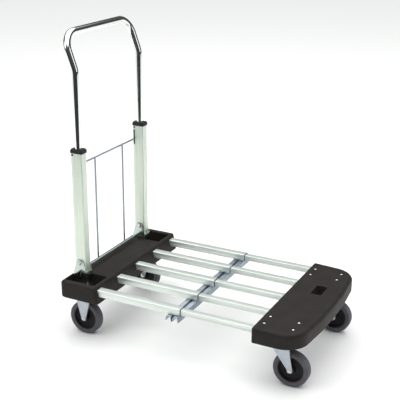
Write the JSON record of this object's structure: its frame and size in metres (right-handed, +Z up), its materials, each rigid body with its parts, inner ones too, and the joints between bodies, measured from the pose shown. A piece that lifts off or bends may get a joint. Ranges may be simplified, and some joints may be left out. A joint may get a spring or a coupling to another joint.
{
  "type": "folding platform cart",
  "caption": "Folding platform cart with extending rail deck, telescopic chrome handle, fixed rear wheels and swivelling front casters.",
  "frame": {"origin": "on the floor, under the middle of the cart's box with the deck extended and the handle up", "axes": "+X from the handle to the front of the deck, +Y to the left of a person who pushes the cart, +Z up"},
  "size_m": [0.748, 0.47, 0.878],
  "materials": {
    "aluminium": "satin extruded aluminium, with faint lines along its length",
    "housing_plastic": "dark brown-grey textured moulded plastic",
    "black_plastic": "black moulded plastic, smooth",
    "rubber": "dark grey solid rubber tread, matt",
    "chrome": "polished chrome plate",
    "zinc_steel": "zinc-plated pressed steel, bluish and softly bright",
    "bright_steel": "bright zinc-plated fasteners"
  },
  "bodies": {
    "base": {"rear_housing": "housing_plastic", "cross_member": "zinc_steel", "cross_member_rivets": "bright_steel", "rail_screws": "bright_steel", "hinge_bracket_left": "zinc_steel", "hinge_bracket_right": "zinc_steel", "bracket_screws": "bright_steel", "pivot_bolts": "bright_steel", "tie_rod": "zinc_steel", "rear_fork_left": "zinc_steel", "rear_fork_right": "zinc_steel", "rear_caster_screws": "bright_steel", "rear_axles": "bright_steel", "rear_axle_sleeves": "bright_steel", "outer_rail_1": "aluminium", "outer_rail_2": "aluminium", "outer_rail_3": "aluminium", "outer_rail_4": "aluminium", "outer_rail_5": "aluminium"},
    "front_deck": {"front_housing": "housing_plastic", "front_deck_bolts": "bright_steel", "rail_end_plugs": "black_plastic", "front_caster_plate_left": "zinc_steel", "front_caster_plate_right": "zinc_steel", "front_kingpins": "bright_steel", "inner_rail_1": "aluminium", "inner_rail_2": "aluminium", "inner_rail_3": "aluminium", "inner_rail_4": "aluminium", "inner_rail_5": "aluminium"},
    "caster_left": {"front_fork_left": "zinc_steel", "front_axle_left": "bright_steel", "front_axle_sleeve_left": "bright_steel"},
    "caster_right": {"front_fork_right": "zinc_steel", "front_axle_right": "bright_steel", "front_axle_sleeve_right": "bright_steel"},
    "wheel_rear_left": {"hub_rear_left": "black_plastic", "tyre_rear_left": "rubber"},
    "wheel_rear_right": {"hub_rear_right": "black_plastic", "tyre_rear_right": "rubber"},
    "wheel_front_left": {"hub_front_left": "black_plastic", "tyre_front_left": "rubber"},
    "wheel_front_right": {"hub_front_right": "black_plastic", "tyre_front_right": "rubber"},
    "posts": {"post_left": "aluminium", "post_right": "aluminium", "post_cap_left": "black_plastic", "post_cap_right": "black_plastic", "cap_pins": "black_plastic"},
    "handle": {"handle_tube": "chrome", "tube_feet": "black_plastic"},
    "release": {"release_frame": "zinc_steel"}
  },
  "joints": [
    {"name": "deck_extend", "type": "slide", "parent": "base", "child": "front_deck", "axis": [1, 0, 0], "range_m": [-0.2, 0]},
    {"name": "handle_fold", "type": "hinge", "parent": "base", "child": "posts", "pos_m": [-0.329, 0, 0.219], "axis": [0, 1, 0], "range_deg": [0, 90]},
    {"name": "handle_slide", "type": "slide", "parent": "posts", "child": "handle", "axis": [0, 0, 1], "range_m": [-0.2, 0]},
    {"name": "fold_release", "type": "slide", "parent": "posts", "child": "release", "axis": [0, 0, 1], "range_m": [0, 0.012], "stiffness_N_per_m": 400, "springref_m": -0.012},
    {"name": "caster_swivel_left", "type": "hinge", "parent": "front_deck", "child": "caster_left", "pos_m": [0.2875, 0.171, 0.118], "axis": [0, 0, 1], "continuous": true},
    {"name": "front_wheel_left_spin", "type": "hinge", "parent": "caster_left", "child": "wheel_front_left", "pos_m": [0.321, 0.171, 0.05], "axis": [0, 1, 0], "continuous": true},
    {"name": "rear_wheel_left_spin", "type": "hinge", "parent": "base", "child": "wheel_rear_left", "pos_m": [-0.319, 0.171, 0.05], "axis": [0, 1, 0], "continuous": true},
    {"name": "caster_swivel_right", "type": "hinge", "parent": "front_deck", "child": "caster_right", "pos_m": [0.2875, -0.171, 0.118], "axis": [0, 0, 1], "continuous": true},
    {"name": "front_wheel_right_spin", "type": "hinge", "parent": "caster_right", "child": "wheel_front_right", "pos_m": [0.321, -0.171, 0.05], "axis": [0, 1, 0], "continuous": true},
    {"name": "rear_wheel_right_spin", "type": "hinge", "parent": "base", "child": "wheel_rear_right", "pos_m": [-0.319, -0.171, 0.05], "axis": [0, 1, 0], "continuous": true}
  ]
}
